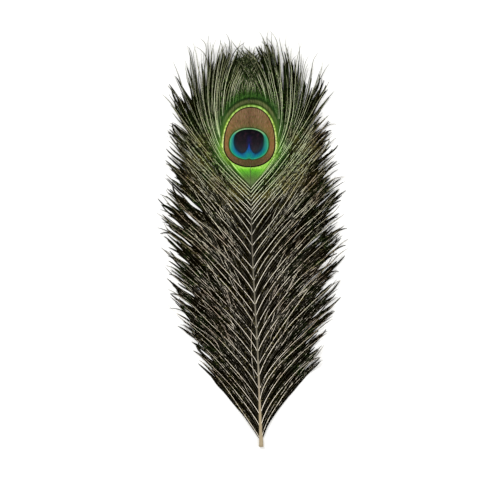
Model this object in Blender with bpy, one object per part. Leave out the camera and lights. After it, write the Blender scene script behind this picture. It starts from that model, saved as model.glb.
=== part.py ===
"""A peacock's eye feather, lying face up on a flat surface.

The feather grew as one piece, so it is one solid: a tapering shaft, the close-knit
eye plate near its tip, and the loose barbs gathered into locks that all leave the
shaft. +Y runs up the shaft, +Z is up, and the origin is on the flat underside of the
quill, just above its cut end.
"""

import math
import random

import bmesh
import bpy
from mathutils import Vector, geometry

MM = 0.001

# Shaft, from the cut end of the quill to where it fades out inside the eye
CUT_Y = -12 * MM
SHAFT_END_Y = 212 * MM
SHAFT_BOW = 1.6 * MM  # how far the middle stands off the straight line, to -X
SHAFT_SIDES = 8
FLAT_REST_Y = 30 * MM  # the quill lies flat on the surface up to here
EYE_LEVEL_Y = 150 * MM  # from here on the shaft is at its full height
SHAFT_RISE = 3.6 * MM  # how far the loose barbs hold the upper shaft off the surface
# How far up the shaft, and its width there
SHAFT_WIDTHS = (
    (CUT_Y, 3.2 * MM),
    (30 * MM, 2.0 * MM),
    (65 * MM, 1.7 * MM),
    (100 * MM, 1.5 * MM),
    (135 * MM, 1.3 * MM),
    (170 * MM, 1.1 * MM),
    (SHAFT_END_Y, 0.9 * MM),
)

# Eye plate: an egg that runs down to a point where its lowest barbs leave the shaft
EYE_CENTRE_Y = 201.5 * MM
EYE_HALF_WIDTH = 20.5 * MM
EYE_UP = 31 * MM
EYE_DOWN = 34 * MM
EYE_POINT_POWER = 1.5  # how much the lower half narrows to its point
EYE_THICKNESS = 1.3 * MM
EYE_CROWN = 1.0 * MM  # how much higher the middle is than the rim
EYE_RINGS = 3
EYE_SIDES = 32

# Guide barbs, from the quill up, for the +X side. Each row says where the barb leaves
# the shaft, at which angle to it, where its tip is, and the angle that it ends at.
# In millimetres and degrees.
GUIDE_BARBS = (
    (-3, 26, (44, 50), 50),
    (30, 28, (61, 96), 50),
    (65, 30, (67, 136), 50),
    (100, 33, (66, 171), 48),
    (125, 37, (61, 193), 46),
    (145, 42, (58, 206), 45),
    (155, 46, (57, 214), 44),
    (161, 48, (58, 226), 41),
    (165, 50, (60, 241), 36),
    (167.5, 51, (58, 255), 28),
    (169.5, 52, (45, 266), 12),
    (171.5, 52, (29, 273), -4),
    (174, 51, (14, 275), -14),
    (178, 48, (2, 270), -32),
    (184, 39, (-8, 262), -50),
    (192, 28, (-4, 255), -38),
    (203, 15, (-1, 249), -16),
)
LOW_LEAVE_REACH = 0.28  # Bezier handles, as a share of the way from root to tip
HIGH_LEAVE_REACH = 0.40
ARRIVE_REACH = 0.36
SIDE_LEAN = 7.0  # degrees wider on the -X side and narrower on the +X side, low down
LEAN_ENDS_Y = 165 * MM
ROOT_DROP = 1.8 * MM  # a barb starts this much lower, so that it leaves along the shaft
ROOT_DROP_REACH = 5 * MM  # and has bent out to its own line after about this far

# Locks of loose barbs
# Where they leave the shaft on each side, as (first, last, how many): along the quill
# and shaft, close together just below the eye, and from inside the eye's upper rim
FIRST_ROOT_Y = 0 * MM
LOCK_ROOTS = ((FIRST_ROOT_Y, 150 * MM, 18), (153.5 * MM, 171.5 * MM, 10))
CROWN_ROOTS = (174 * MM, 202 * MM, 8)
CROWN_START = 0.32  # a crown lock begins this far along its barb, inside the eye plate
LOCK_WIDTH = 4.0 * MM
LOCK_THICKNESS = 1.2 * MM
ROOT_SHARE = 0.40  # width at the root and at the tip, as shares of the full width
TIP_SHARE = 0.22
TIP_THICKNESS_SHARE = 0.45
LOCK_STEPS = 7
LOCK_ARCH = 2.0 * MM  # how far a lock bows up between its root and its tip
CROWN_ARCH = 0.6 * MM
TIP_SCATTER = 3.5 * MM
TIP_LIFT = 4.5 * MM  # how far the most lifted tips stand off the surface; most lie low
LEFT_ROOTS_HIGHER = 0.9 * MM  # the two sides' roots aren't quite opposite
SEED = 11

FEATHER_COLOUR = (0.085, 0.105, 0.045, 1.0)
FEATHER_ROUGHNESS = 0.55


def between(points, at):
    """The value at a place on a line through (place, value) points."""
    for (low, a), (high, b) in zip(points, points[1:]):
        if at <= high:
            return a + (b - a) * max(0.0, at - low) / (high - low)
    return points[-1][1]


def smooth(low, high, at):
    """0 before low, 1 after high, and an even curve between them."""
    share = min(1.0, max(0.0, (at - low) / (high - low)))
    return share * share * (3 - 2 * share)


def shaft_width(y):
    return between(SHAFT_WIDTHS, y)


def shaft_middle(y):
    """The centre of the shaft at this distance up the feather."""
    share = (y - CUT_Y) / (SHAFT_END_Y - CUT_Y)
    bow = -SHAFT_BOW * math.sin(math.pi * share) * smooth(FLAT_REST_Y, EYE_LEVEL_Y, y)
    foot = SHAFT_RISE * smooth(FLAT_REST_Y, EYE_LEVEL_Y, y)
    flat = math.cos(math.pi / SHAFT_SIDES)  # from the centre to the middle of a side
    return Vector((bow, y, foot + shaft_width(y) / 2 * flat))


def guide_at(root_y):
    """The guide row for a barb that leaves the shaft here, blended from its neighbours."""
    rows = [(g[0] * MM, (g[1], g[2][0] * MM, g[2][1] * MM, g[3])) for g in GUIDE_BARBS]
    return [between([(y, row[i]) for y, row in rows], root_y) for i in range(4)]


def heading(degrees, side):
    """A level direction at this angle to the shaft."""
    angle = math.radians(degrees)
    return Vector((side * math.sin(angle), math.cos(angle), 0))


def lock_line(root_y, side, scatter, lift, crown):
    """Points down the middle of a lock, from its root to its tip on or above the surface."""
    leave, tip_x, tip_y, arrive = guide_at(root_y)
    leave -= side * SIDE_LEAN * (1 - smooth(FIRST_ROOT_Y, LEAN_ENDS_Y, root_y))
    root = shaft_middle(root_y)
    tip = Vector((side * tip_x, tip_y, 0)) + scatter
    tip.z = LOCK_THICKNESS * TIP_THICKNESS_SHARE / 2
    span = (tip - root).length
    arch = CROWN_ARCH if crown else LOCK_ARCH
    reach = between(((FIRST_ROOT_Y, LOW_LEAVE_REACH), (EYE_LEVEL_Y, HIGH_LEAVE_REACH)), root_y)
    knee = root + heading(leave, side) * span * reach
    hip = tip - heading(arrive, side) * span * ARRIVE_REACH
    knee.z, hip.z = root.z + arch, tip.z + arch / 2
    steps = 40
    line = geometry.interpolate_bezier(root, knee, hip, tip, steps + 1)
    for i, point in enumerate(line):
        point.y -= ROOT_DROP * math.exp(-span * i / steps / ROOT_DROP_REACH)
        point.z += lift * (i / steps) ** 3
    start = CROWN_START if crown else 0.0
    shares = [start + (1 - start) * i / LOCK_STEPS for i in range(LOCK_STEPS + 1)]
    return [line[round(share * steps)] for share in shares]


def finished(shape, mesh):
    """The shape as a mesh of flat faces that point out."""
    bmesh.ops.recalc_face_normals(shape, faces=shape.faces)
    bmesh.ops.triangulate(shape, faces=shape.faces)
    shape.to_mesh(mesh)
    shape.free()
    return mesh


def lock_mesh(name, line, fat_root):
    """A blade along a line, with a ridge above and below, which tapers to its tip."""
    mesh, shape = bpy.data.meshes.new(name), bmesh.new()
    rings = []
    for i, point in enumerate(line):
        share = i / (len(line) - 1)
        ahead = line[min(i + 1, len(line) - 1)] - line[max(i - 1, 0)]
        across = Vector((ahead.y, -ahead.x, 0)).normalized()
        swell = 1 if fat_root else ROOT_SHARE + (1 - ROOT_SHARE) * smooth(0, 0.3, share)
        wide = LOCK_WIDTH * swell * (1 - (1 - TIP_SHARE) * smooth(0.35, 1, share))
        thick = LOCK_THICKNESS * (1 - (1 - TIP_THICKNESS_SHARE) * share)
        up = Vector((0, 0, thick / 2))
        corners = (across * wide / 2, up, -across * wide / 2, -up)
        rings.append([shape.verts.new(point + corner) for corner in corners])
    for ring, after in zip(rings, rings[1:]):
        for k in range(4):
            j = (k + 1) % 4
            shape.faces.new((ring[k], ring[j], after[j], after[k]))
    shape.faces.new(rings[0])
    shape.faces.new(reversed(rings[-1]))
    return finished(shape, mesh)


def shaft_mesh():
    """The quill and shaft: a tapering prism with one side down, cut off square below."""
    mesh, shape = bpy.data.meshes.new("feather"), bmesh.new()
    steps = 16
    places = [CUT_Y, FLAT_REST_Y]
    places += [
        FLAT_REST_Y + (SHAFT_END_Y - FLAT_REST_Y) * i / steps for i in range(1, steps + 1)
    ]
    rings = []
    for y in places:
        middle, radius = shaft_middle(y), shaft_width(y) / 2
        ring = []
        for k in range(SHAFT_SIDES):
            angle = math.tau * (k + 0.5) / SHAFT_SIDES
            offset = Vector((math.cos(angle), 0, math.sin(angle))) * radius
            ring.append(shape.verts.new(middle + offset))
        rings.append(ring)
    for ring, after in zip(rings, rings[1:]):
        for k in range(SHAFT_SIDES):
            j = (k + 1) % SHAFT_SIDES
            shape.faces.new((ring[k], ring[j], after[j], after[k]))
    shape.faces.new(rings[0])
    shape.faces.new(reversed(rings[-1]))
    return finished(shape, mesh)


def eye_outline(turn):
    """A point on the eye plate's rim, counted round from +X, from the eye's centre."""
    across, along = math.cos(turn), math.sin(turn)
    if along >= 0:
        return EYE_HALF_WIDTH * across, EYE_UP * along
    narrowed = math.copysign(abs(across) ** EYE_POINT_POWER, across)
    return EYE_HALF_WIDTH * narrowed, EYE_DOWN * along


def eye_mesh():
    """The eye plate: a thin dome over the end of the shaft."""
    mesh, shape = bpy.data.meshes.new("eye_plate"), bmesh.new()
    centre = shaft_middle(EYE_CENTRE_Y)

    def ring(share, height):
        points = []
        for k in range(EYE_SIDES):
            x, y = eye_outline(math.tau * k / EYE_SIDES)
            points.append(Vector((x * share, y * share, height)) + centre)
        return [shape.verts.new(point) for point in points]

    shares = [i / EYE_RINGS for i in range(EYE_RINGS, 0, -1)]
    above = [ring(s, EYE_THICKNESS / 2 + EYE_CROWN * (1 - s * s)) for s in shares]
    below = [ring(s, -EYE_THICKNESS / 2 + EYE_CROWN * (1 - s * s) / 2) for s in shares]
    for layer in (above, below):
        for outer, inner in zip(layer, layer[1:]):
            for k in range(EYE_SIDES):
                j = (k + 1) % EYE_SIDES
                shape.faces.new((outer[k], outer[j], inner[j], inner[k]))
    for k in range(EYE_SIDES):
        j = (k + 1) % EYE_SIDES
        shape.faces.new((below[0][k], below[0][j], above[0][j], above[0][k]))
    shape.faces.new(above[-1])
    shape.faces.new(below[-1])
    return finished(shape, mesh)


def spread(first, last, count):
    return [first + (last - first) * i / (count - 1) for i in range(count)]


def lock_meshes():
    """Every lock, side by side: those along the shaft, then those round the eye."""
    chance = random.Random(SEED)
    found = []
    for side, word in ((1, "right"), (-1, "left")):
        loose = [y for row in LOCK_ROOTS for y in spread(*row)]
        for i, root_y in enumerate(loose + spread(*CROWN_ROOTS)):
            crown = i >= len(loose)
            x, y = (chance.uniform(-TIP_SCATTER, TIP_SCATTER) for _ in range(2))
            lift = TIP_LIFT * chance.random() ** 3
            higher = LEFT_ROOTS_HIGHER if side < 0 else 0.0
            line = lock_line(root_y + higher, side, Vector((x, y, 0)), lift, crown)
            found.append(lock_mesh(f"{word}_lock_{i}", line, crown))
    return found


def fuse(body, meshes):
    """Joins these shapes to the body as one solid, and fills what they close in."""
    group = bpy.data.collections.new("joined_shapes")
    bpy.context.scene.collection.children.link(group)
    for mesh in meshes:
        group.objects.link(bpy.data.objects.new(mesh.name, mesh))
    join = body.modifiers.new("Join locks and eye", "BOOLEAN")
    join.operation = "UNION"
    join.solver = "EXACT"
    join.operand_type = "COLLECTION"
    join.collection = group
    graph = bpy.context.evaluated_depsgraph_get()
    joined = bpy.data.meshes.new_from_object(body.evaluated_get(graph))
    body.modifiers.clear()
    for part in list(group.objects):
        bpy.data.objects.remove(part)
    bpy.data.collections.remove(group)
    keep_outer_surface(joined)
    body.data = joined


def keep_outer_surface(mesh):
    """Drops each closed surface that lies inside the largest one."""
    shape = bmesh.new()
    shape.from_mesh(mesh)
    waiting, surfaces = set(shape.verts), []
    while waiting:
        edge, surface = [waiting.pop()], set()
        while edge:
            vertex = edge.pop()
            surface.add(vertex)
            for neighbour in (link.other_vert(vertex) for link in vertex.link_edges):
                if neighbour in waiting:
                    waiting.discard(neighbour)
                    edge.append(neighbour)
        surfaces.append(surface)
    outer = max(surfaces, key=len)
    inner = [vertex for vertex in shape.verts if vertex not in outer]
    bmesh.ops.delete(shape, geom=inner, context="VERTS")
    shape.to_mesh(mesh)
    shape.free()


def feather_material():
    material = bpy.data.materials.new("feather")
    material.use_nodes = True
    shader = material.node_tree.nodes["Principled BSDF"]
    shader.inputs["Base Color"].default_value = FEATHER_COLOUR
    shader.inputs["Roughness"].default_value = FEATHER_ROUGHNESS
    shader.inputs["Metallic"].default_value = 0.0
    return material


def main():
    for old in list(bpy.data.objects):
        bpy.data.objects.remove(old)
    feather = bpy.data.objects.new("feather", shaft_mesh())
    bpy.context.scene.collection.objects.link(feather)
    feather.data.materials.append(feather_material())
    fuse(feather, [eye_mesh()] + lock_meshes())


main()
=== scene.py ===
"""Looks for the peacock feather: shaft, loose barbs with their barbules, and the eye.

Lengths are in millimetres, and in metres in the meshes, for the floor and the lights, and
for the camera's height.
"""

import math
import random

import bpy
import numpy as np
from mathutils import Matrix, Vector


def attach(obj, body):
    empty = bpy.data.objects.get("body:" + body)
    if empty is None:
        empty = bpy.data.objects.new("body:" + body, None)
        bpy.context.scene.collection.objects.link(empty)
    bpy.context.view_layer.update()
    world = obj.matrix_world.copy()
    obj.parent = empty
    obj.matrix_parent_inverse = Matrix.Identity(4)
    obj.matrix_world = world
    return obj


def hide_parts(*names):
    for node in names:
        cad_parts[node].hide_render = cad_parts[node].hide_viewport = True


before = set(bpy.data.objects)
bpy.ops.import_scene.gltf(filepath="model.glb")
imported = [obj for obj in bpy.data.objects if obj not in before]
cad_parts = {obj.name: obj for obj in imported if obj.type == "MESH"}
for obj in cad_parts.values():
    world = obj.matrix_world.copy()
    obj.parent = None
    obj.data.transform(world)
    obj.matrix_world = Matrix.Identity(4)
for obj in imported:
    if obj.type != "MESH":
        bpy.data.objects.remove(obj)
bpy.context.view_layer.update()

MM = 0.001
SEED = 11
rng = np.random.default_rng(SEED)

# ---- The solid's own measures, repeated from its source
CUT_Y = -12.0
SHAFT_END_Y = 212.0
SHAFT_BOW = 1.6
FLAT_REST_Y = 30.0
EYE_LEVEL_Y = 150.0
SHAFT_RISE = 3.6
SHAFT_WIDTHS = ((-12, 3.2), (30, 2.0), (65, 1.7), (100, 1.5), (135, 1.3), (170, 1.1), (212, 0.9))
SHAFT_FLAT = math.cos(math.pi / 8)
# (root, degrees off the shaft there, tip, degrees off the shaft at the tip). The last four,
# for the barbs that close above the eye, reach further than the solid's
GUIDE_BARBS = (
    (-3, 26, (44, 50), 50),
    (30, 28, (61, 96), 50),
    (65, 30, (67, 136), 50),
    (100, 33, (66, 171), 48),
    (125, 37, (61, 193), 46),
    (145, 42, (58, 206), 45),
    (155, 46, (57, 214), 44),
    (161, 48, (58, 226), 41),
    (165, 50, (60, 241), 36),
    (167.5, 51, (58, 255), 28),
    (169.5, 52, (45, 266), 12),
    (171.5, 52, (29, 273), -4),
    (174, 51, (14, 275), -14),
    (178, 48, (2, 270), -32),
    (184, 39, (-9, 265), -50),
    (192, 28, (-10, 261), -50),
    (203, 15, (-6, 256), -38),
    (222, 2, (-2, 257), -20),
)
LOW_LEAVE_REACH, HIGH_LEAVE_REACH, ARRIVE_REACH = 0.28, 0.40, 0.36
SIDE_LEAN, LEAN_ENDS_Y = 7.0, 165.0
ROOT_DROP, ROOT_DROP_REACH = 1.8, 5.0
FIRST_ROOT_Y = 0.0
LOCK_ROOTS = ((FIRST_ROOT_Y, 150.0, 18), (153.5, 171.5, 10), (174.0, 202.0, 8))
LOCK_ARCH = 2.0
TIP_SCATTER, TIP_LIFT = 3.5, 4.5

# ---- Barbs
# The barbs with barbules are of three kinds. A tuple of three has a value for each of them
UNDER, PLAIN, BOLD = range(3)
CURVE_STEPS = 160
BARB_POINTS, UNDER_POINTS, BARE_POINTS = 52, 34, 22
GROUND_GAP = 0.02

# The loose barbs from the quill up: the bold ones, whose pale ribs draw the Vs along the
# shaft, as (from, to, spacing), and how far apart the others lie between two of them
BOLD_ROWS = ((-6, 56, 8.5), (56, 131, 8.3), (131, 145, 6.8), (145, 153, 4.1), (153, 168, 2.8))
PLAIN_GAP, UNDER_GAP = 2.9, ((0, 140, 150, 200), (1.05, 1.05, 0.8, 0.8))
LOOSE_PILES = (("lower", -20, 84), ("upper", 84, 200))
CLUMPING = 0.5  # how far a barb's tip is drawn to the tip of its lock
ARCH_CHANGES = (-1.7, -0.5, 0.1)
LAYER_HEIGHTS = (-0.5, 0, 0.35)
TIP_WANDERS = (6, 4, 4)
BEND_SHARES = (1.2, 1, 0.8)
REACH_SHARES = ((0.8, 0.97), (0.9, 1), (0.94, 1))
# Under barbs take the darkest tones and the dullest ribs: painted shade, as they lie beneath the others
TONES = ((0, 0.3), (0.1, 0.6), (0.2, 0.7))
BOLDNESS = ((0, 0.35), (0.1, 0.6), (0.8, 1))
RIGHT_BOLDNESS = 0.05  # plain barbs on the right are this much bolder, on the left less bold
# Turns in degrees, as (mean, spread). Underlying barbs have one or the other of theirs
UNDER_TURNS, PLAIN_TURN = ((0, 2.5), (-12, 7)), (-2, 5)
BOLD_TURN, LOW_BOLD_TURN, LOW_BOLD_ENDS_Y = (0, 1.8), (0, 3.2), 140
# Plain barbs that lie steeper than the others and cross them
STEEP_SHARE, STEEP_SWING, STEEP_ENDS_Y = 0.3, (-14, 5), 150
# Barbs that cross their neighbours, and by how far
STRAY_SHARE, STRAY_TURN, STRAY_ROOTS = 0.34, 13, (6, 148)
# Tips hook round by chance, more of them outwards: share, size in degrees and the most
LOOSE_HOOK, CROWN_HOOK = (0.65, 13, 90), (0.6, 15, 100)
HOOK_SHAPE = 1.6
# Tips lift with their lock, by a share of its own lift, and by chance more
LOCK_LIFT_SHARES = (0.3, 1)
LOOSE_LIFT, CROWN_LIFT, UNDER_LIFT_SHARE = (1.2, 1.1), (1.3, 1.4), 0.4
LIFT_FROM, LIFT_POWER = 0.7, 1.5

# Thin bare barbs: their spacing, closer in the upper piles, and the roots that they point to
BARE_GAP, UPPER_BARE_SHARE, BARE_ROOTS = 1.45, 0.65, (0, 156)
BARE_SWING, BARE_BACK_SWING = (-22, 8), (6, 4)
BARE_SWING_SHARE, ONLY_BARE_SWING_Y = 0.85, 25
BARE_SWING_FADE, BARE_FADE_Y = 0.65, (70, 150)
BARE_AWAY, BARE_AWAY_MOST = (7, 36), 0.6  # how far from the shaft they come up
BARE_LENGTHS, BARE_LEAST = (12, 34), 8  # in points of their line
BARE_HEIGHT, BARE_SINK = 0.55, 1.1
CLEAR_OF_EYE = 1.35  # how far out on the rim's egg they end at the latest

# Ribs and barbules
RAMUS_SIDES = 4
RAMUS_RADIUS, BARE_RADIUS_SHARE = 0.225, 0.85
HIGH_RADIUS_SHARE = 0.84  # what ribs keep of their thickness beside and above the eye
RIGHT_RADIUS_SHARE, LEFT_RADIUS_SHARE = 1.16, 0.97
TIP_RADIUS_SHARE, RAMUS_TAPER, RAMUS_HEIGHT = 0.16, 0.65, 1.15
RIB_SHARES = (0.6, 0.7, 1)
BARBULE_LENGTH = 1.8
BARBULE_STEPS = (0.8, 0.3, 0.3)
BARBULE_HALF_WIDTHS = (0.18, 0.1, 0.1)
WEB_SHARES = (0.85, 0.45, 0.34)  # half width of their dense foot, as a share of their length
# A barbule row's reach along its barb, as a share of the full length
BARBULE_PLACES = (0, 0.06, 0.25, 0.6, 0.85, 0.97, 1)
BARBULE_REACH = (0.45, 0.8, 1, 0.9, 0.56, 0.25, 0.1)
BARBULE_LEANS, LEAN_SPREAD = (52, 44, 30), 7  # degrees off the barb at its root, middle, tip
BARBULE_TILT, BARBULE_ROLL = (0.03, 0.13), (0, 0.38)
# The barbules' lighter stretches are painted glints, where light catches them
PAINTED_GLINT_STEP = 0.45  # how far apart the lighter stretches of barbules are drawn
# Across a barb's band of the texture, from its middle: the rib, the foot, the barbules
RIB_ON_BAND, FOOT_ON_BAND, BARBULE_ON_BAND = 0.08, 0.14, 0.34
FOOT_ACROSS, MIDDLE_ACROSS = 0.06, 0.45

# ---- Eye
# Its centre, its tilt to the shaft, and the shapes in it, each an egg from that centre:
# (centre x, centre y, half width, reach up, reach down, fullness)
EYE_X, EYE_Y, EYE_TILT = -0.55, 200.6, 3.0
RIM = (-0.1, -1.6, 19.15, 28.5, 16.3, 2.15)
BRONZE = (-0.1, -1.4, 18.2, 26.95, 15.35, 2.15)
TEAL = (-0.45, -0.6, 13.8, 11.3, 10.8, 2.2)
HEART = (-0.5, 2.6, 10.3, 6.9, 10.3, 2.3)
# The egg's ends lie this far right of its middle, at 20 mm from it
EYE_BEND, BEND_MIDDLE, BEND_SPAN = 0.4, -3, 20
# The green V below the eye: where it starts, how fast it widens, its widest, its middle
V_BOTTOM, V_UNIT, V_POWER, V_WIDEN, V_WIDEST, V_MIDDLE = -28.6, 8.7, 1.15, 0.49, 25, 0.55
# The wedge that splits the heart from below, and the point that fine streaks fan out from
WEDGE_X, WEDGE_TOP, WEDGE_DEPTH = -0.35, 0.4, 7.0
FAN_BELOW = 26.0
# The eye's domed face: its top, its fall at the ends of these half widths, and its lowest
DOME_X, DOME_Y, DOME_HALF_WIDTH, DOME_HALF_LENGTH = -0.3, 201.5, 20.5, 32.0
DOME_TOP, DOME_FALL, DOME_LOWEST = 5.65, 1.05, 0.35
# Its sheet: the lines that it follows, their points, the grooves and the thickness
EYE_ROOTS, EYE_LINE_STEP, EYE_MIDDLE_LINE = (168.5, 221.5), 0.62, (219, 228.6)
FLOW_POINTS, EYE_ROWS = 260, 52
GROOVE_DEPTH, SHEET_THICKNESS = 0.16, 0.32

# ---- Crown
# Barbs that come out of the eye's rim, by their roots: (from, to, spacing)
CROWN_UNDER_ROWS = ((165, 169, 0.5), (169, 174, 0.38), (174, 184, 0.55), (184, 221.5, 0.9))
CROWN_PLAIN_FIRST = (166.9, 167.5, 168.1)
CROWN_PLAIN_ROWS = ((168.6, 170.4, 0.3), (170.4, 175, 0.22), (175, 181, 0.42), (181, 221.5, 0.87))
BOLD_CROWN = (168.1, 170.7, 172.2, 173.4, 174.5, 176, 177.5)  # where plain ones are bold


# ---- Lines
def smooth(low, high, at):
    share = np.clip((np.asarray(at, float) - low) / (high - low), 0, 1)
    return share * share * (3 - 2 * share)


def shaft_width(y):
    return np.interp(y, *zip(*SHAFT_WIDTHS))


def shaft_middle(y):
    y = np.asarray(y, float)
    share = (y - CUT_Y) / (SHAFT_END_Y - CUT_Y)
    on = smooth(FLAT_REST_Y, EYE_LEVEL_Y, y)
    bow = -SHAFT_BOW * np.sin(math.pi * np.clip(share, 0, 1)) * on
    return np.stack([bow, y, SHAFT_RISE * on + shaft_width(y) / 2 * SHAFT_FLAT], -1)


def guide_at(root_y):
    """Degrees off the shaft at the root, the tip's x and y, and degrees at the tip."""
    rows = [(leave, *tip, arrive) for _, leave, tip, arrive in GUIDE_BARBS]
    places = [row[0] for row in GUIDE_BARBS]
    return [float(np.interp(root_y, places, [row[i] for row in rows])) for i in range(4)]


def heading(degrees, side):
    angle = math.radians(degrees)
    return np.array([side * math.sin(angle), math.cos(angle), 0])


def lock_scatters():
    """Each lock of the solid as (root, tip moved by x and y, tip lifted by): side -> rows."""
    chance = random.Random(SEED)
    found = {}
    for side in (1, -1):
        rows = []
        for root_y in np.concatenate([np.linspace(*row) for row in LOCK_ROOTS]):
            x, y = (chance.uniform(-TIP_SCATTER, TIP_SCATTER) for _ in range(2))
            rows.append((root_y, x, y, TIP_LIFT * chance.random() ** 3))
        found[side] = np.array(rows)
    return found


LOCKS = lock_scatters()


def nearest_lock(root_y, side):
    rows = LOCKS[side]
    return rows[np.argmin(np.abs(rows[:, 0] - root_y))]


def lengths_along(line):
    steps = np.linalg.norm(np.diff(line, axis=0), axis=1)
    return np.concatenate([[0], np.cumsum(steps)])


def shares_along(line):
    run = lengths_along(line)
    return run / run[-1]


def picked(rows, at, run):
    """The rows of a line, or of directions along it, at other lengths along it."""
    return np.stack([np.interp(at, run, rows[:, k]) for k in range(3)], -1)


def resample(line, points, upto=1):
    run = lengths_along(line)
    return picked(line, np.linspace(0, run[-1] * upto, points), run)


def guide_line(root_y, side, scatter, arch, tip_z, points=BARB_POINTS, turn=0, swing=0):
    """A barb's plain line from the shaft to its tip, evenly parted. It leaves the shaft
    turned outwards by so many degrees, and the whole of it swings by so many more."""
    leave, tip_x, tip_y, arrive = guide_at(root_y)
    away = math.hypot(tip_x, tip_y - root_y)
    angle = math.atan2(tip_x, tip_y - root_y) + math.radians(swing)
    tip_x, tip_y = away * math.sin(angle), root_y + away * math.cos(angle)
    leave, arrive = leave + turn + swing, arrive + swing
    leave -= side * SIDE_LEAN * (1 - float(smooth(FIRST_ROOT_Y, LEAN_ENDS_Y, root_y)))
    root = shaft_middle(root_y)
    tip = np.array([side * tip_x + scatter[0], tip_y + scatter[1], tip_z])
    span = np.linalg.norm(tip - root)
    reach = np.interp(root_y, [FIRST_ROOT_Y, EYE_LEVEL_Y], [LOW_LEAVE_REACH, HIGH_LEAVE_REACH])
    knee = root + heading(leave, side) * span * reach
    hip = tip - heading(arrive, side) * span * ARRIVE_REACH
    knee[2], hip[2] = root[2] + arch, tip[2] + arch / 2
    t = np.linspace(0, 1, CURVE_STEPS)[:, None]
    line = (1 - t) ** 3 * root + 3 * (1 - t) ** 2 * t * knee + 3 * (1 - t) * t * t * hip + t**3 * tip
    line[:, 1] -= ROOT_DROP * np.exp(-span * t[:, 0] / ROOT_DROP_REACH)
    return resample(line, points)


def natural(line, wander, hook, hook_from, lift):
    """The line with slow wanders, and a tip that hooks round by so many degrees and lifts."""
    share = shares_along(line)
    step = np.diff(line[:, :2], axis=0)
    pace = np.linalg.norm(step, axis=1)
    middle = (share[1:] + share[:-1]) / 2
    turn = np.zeros_like(middle)
    for waves in (1.3, 2.9, 6.1):
        size = wander * rng.uniform(0.4, 1) / waves**0.35
        wave = np.sin(math.tau * (waves * rng.uniform(0.8, 1.25) * middle + rng.random()))
        turn += size * wave * middle**1.3
    turn += hook * smooth(hook_from, 1, middle) ** 1.5
    angle = np.arctan2(step[:, 1], step[:, 0]) + np.radians(turn)
    steps = np.stack([np.cos(angle) * pace, np.sin(angle) * pace], -1)
    flat = line[0, :2] + np.concatenate([np.zeros((1, 2)), np.cumsum(steps, 0)])
    z = line[:, 2] + lift * smooth(LIFT_FROM, 1, share) ** LIFT_POWER
    return np.column_stack([flat, z])


def tip_hook(side, outwards, size, most_degrees):
    hook = side * rng.choice([-1, 1], p=[outwards, 1 - outwards]) * rng.gamma(HOOK_SHAPE, size)
    return np.clip(hook, -most_degrees, most_degrees)


# ---- The eye's shapes
def eye_height(x, y):
    """The height of the eye's gently domed face."""
    reach = ((x - DOME_X) / DOME_HALF_WIDTH) ** 2 + ((y - DOME_Y) / DOME_HALF_LENGTH) ** 2
    return np.maximum(DOME_TOP - DOME_FALL * reach, DOME_LOWEST)


def onto_eye(line):
    line[:, 2] = eye_height(line[:, 0], line[:, 1])
    return line


def by_node(operation):
    return lambda signal, *others: signal.shader.math(operation, signal, *others)


class Signal:
    """What a shader's node gives. Arithmetic on it makes further nodes."""

    def __init__(self, shader, socket):
        self.shader, self.socket = shader, socket

    __add__, __sub__, __mul__ = by_node("ADD"), by_node("SUBTRACT"), by_node("MULTIPLY")
    __truediv__, __pow__, __abs__ = by_node("DIVIDE"), by_node("POWER"), by_node("ABSOLUTE")

    def __rsub__(self, other):
        return self.shader.math("SUBTRACT", other, self)


# The eye's shapes serve its mesh and its materials: they take arrays or signals
def most(a, b):
    return a.shader.math("MAXIMUM", a, b) if isinstance(a, Signal) else np.maximum(a, b)


def exponential(a):
    return a.shader.math("EXPONENT", a) if isinstance(a, Signal) else np.exp(a)


def eye_local(x, y):
    """A point's place along the eye's own axes, across and up."""
    c, s = math.cos(math.radians(EYE_TILT)), math.sin(math.radians(EYE_TILT))
    dx, dy = x - EYE_X, y - EYE_Y
    v = dx * s + dy * c
    bend = abs((v - BEND_MIDDLE) / BEND_SPAN) ** 2
    return dx * c - dy * s - bend * EYE_BEND, v


def egg(u, v, shape):
    """How far out on an egg a point is: 0 at its centre and 1 on its outline."""
    cx, cy, half, up, down, power = shape
    rise = v - cy
    along = most(rise / up, rise / -down)
    return (abs((u - cx) / half) ** power + along**power) ** (1 / power)


def v_half_width(v):
    """Half the width of the green V below the eye."""
    climb = most((v - V_BOTTOM) / V_UNIT, 0)
    return (1 - exponential(climb**V_POWER * -V_WIDEN)) * V_WIDEST


def in_eye(x, y):
    """True on the close-knit part: the rim's egg and the V below it."""
    u, v = eye_local(x, y)
    out = egg(u, v, RIM)
    on_rim = out < 1.03 + 0.2 * smooth(-4, 20, v)
    on_v = (np.abs(u - V_MIDDLE) < v_half_width(v) + 0.2) & (v < -8)
    return on_rim | (on_v & (out < 1.1 + 0.3 * smooth(-9, -14, v)))


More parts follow.
